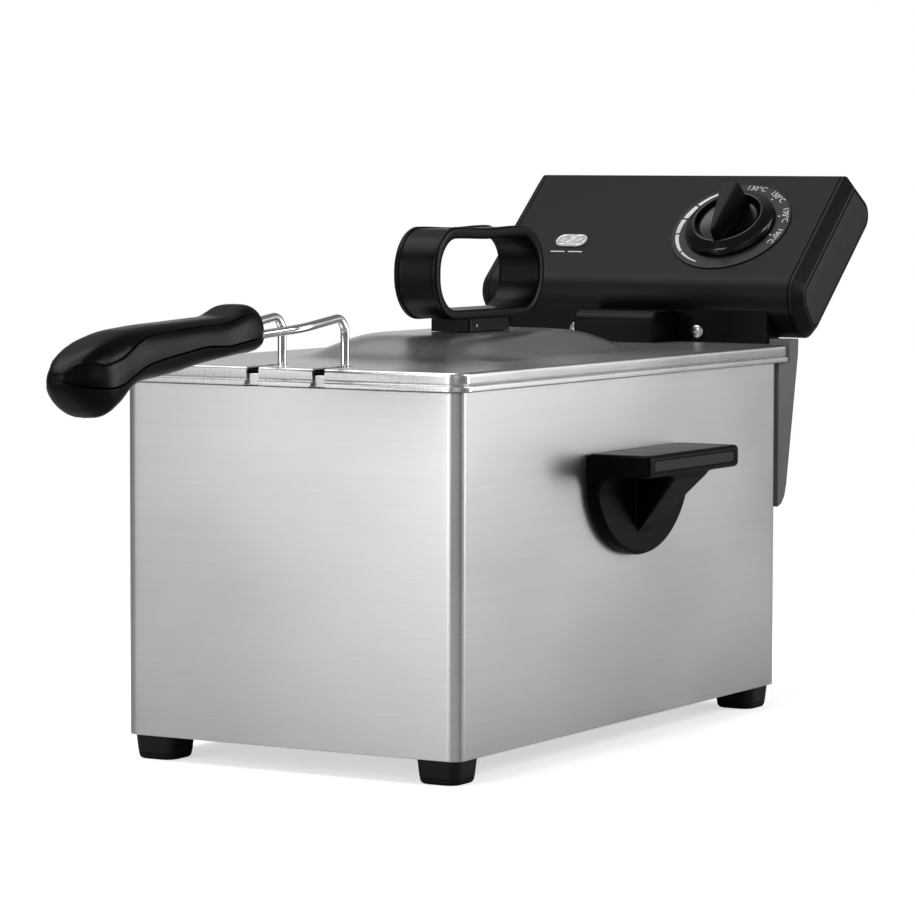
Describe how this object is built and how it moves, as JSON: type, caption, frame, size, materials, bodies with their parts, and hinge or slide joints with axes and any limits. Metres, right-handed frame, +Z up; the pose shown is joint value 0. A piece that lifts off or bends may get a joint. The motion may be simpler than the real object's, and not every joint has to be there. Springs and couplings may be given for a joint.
{
  "type": "deep fryer",
  "caption": "Cold-zone deep fryer with brushed steel housing, lift-off lid, wire basket with black grip, and a black rear control head that carries the heating element.",
  "frame": {"origin": "on the table, under the middle of the whole object", "axes": "+Z up, -Y towards the front where the basket grip points, +X to the right as seen from the front"},
  "size_m": [0.247, 0.606, 0.2715],
  "materials": {
    "casing_steel": "brushed, satin",
    "lid_steel": "brushed, satin",
    "pan_steel": "smooth",
    "chrome_wire": "polished",
    "screw_steel": "polished",
    "element_steel": "dark oxidised",
    "black_plastic": "fine texture, semi-matt",
    "gloss_plastic": "gloss",
    "inset_plastic": "matt",
    "grey_plastic": "matt",
    "base_plastic": "matt",
    "rubber": "matt",
    "lens": "clear moulded",
    "print_white": "printed",
    "board": "satin"
  },
  "bodies": {
    "housing": {"casing_front": "casing_steel", "casing_wrap": "casing_steel", "base_plate": "base_plastic", "foot_front_left": "base_plastic", "foot_front_right": "base_plastic", "foot_rear_left": "base_plastic", "foot_rear_right": "base_plastic", "foot_pad_front_left": "rubber", "foot_pad_front_right": "rubber", "foot_pad_rear_left": "rubber", "foot_pad_rear_right": "rubber", "side_handle_left": "gloss_plastic", "side_handle_right": "gloss_plastic", "side_handle_trim_left": "inset_plastic", "side_handle_trim_right": "inset_plastic", "rear_bracket": "grey_plastic", "bracket_screw_left": "screw_steel", "bracket_screw_right": "screw_steel"},
    "pan": {"oil_pan": "pan_steel"},
    "head": {"head_front_shell": "black_plastic", "head_back_shell": "black_plastic", "end_cap_left": "black_plastic", "end_cap_right": "black_plastic", "end_inset_left": "inset_plastic", "end_inset_right": "inset_plastic", "dial_plate": "black_plastic", "thermostat_body": "screw_steel", "indicator_bezel": "print_white", "power_lens": "lens", "ready_lens": "lens", "lamp_board": "board", "thermal_cutout": "inset_plastic", "inlet_gland": "rubber", "rear_neck": "black_plastic", "neck_bridge": "black_plastic", "neck_screw_left": "screw_steel", "neck_screw_right": "screw_steel", "heating_element": "element_steel", "element_guard": "pan_steel", "thermostat_bulb": "chrome_wire", "safety_switch": "inset_plastic"},
    "dial": {"knob": "gloss_plastic", "thermostat_shaft": "screw_steel"},
    "reset": {"reset_button": "gloss_plastic"},
    "plunger": {"switch_plunger": "print_white"},
    "basket": {"fry_basket": "chrome_wire", "basket_wire_left": "chrome_wire", "basket_wire_right": "chrome_wire", "grip_upper": "black_plastic", "grip_lower": "black_plastic", "grip_screw": "screw_steel"},
    "lid": {"lid_shell": "lid_steel", "lid_handle_foot": "black_plastic", "lid_handle_loop": "black_plastic", "lid_handle_screw_front": "screw_steel", "lid_handle_screw_rear": "screw_steel"}
  },
  "joints": [
    {"name": "pan_lift", "type": "slide", "parent": "housing", "child": "pan", "axis": [0, 0, 1], "range_m": [0, 0.15]},
    {"name": "head_lift", "type": "slide", "parent": "pan", "child": "head", "axis": [0, 0, 1], "range_m": [0, 0.14]},
    {"name": "basket_lift", "type": "slide", "parent": "head", "child": "basket", "axis": [0, 0, 1], "range_m": [0, 0.13]},
    {"name": "lid_lift", "type": "slide", "parent": "basket", "child": "lid", "axis": [0, 0, 1], "range_m": [0, 0.07]},
    {"name": "dial_turn", "type": "hinge", "parent": "head", "child": "dial", "pos_m": [0.0394, 0.24707, 0.2448], "axis": [0, 0.6508, -0.7593], "range_deg": [-165, 105]},
    {"name": "reset_press", "type": "slide", "parent": "head", "child": "reset", "axis": [0, -0.6508, 0.7593], "range_m": [0, 0.0015], "stiffness_N_per_m": 400},
    {"name": "plunger_press", "type": "slide", "parent": "head", "child": "plunger", "axis": [0, 0, 1], "range_m": [0, 0.002], "stiffness_N_per_m": 300}
  ]
}
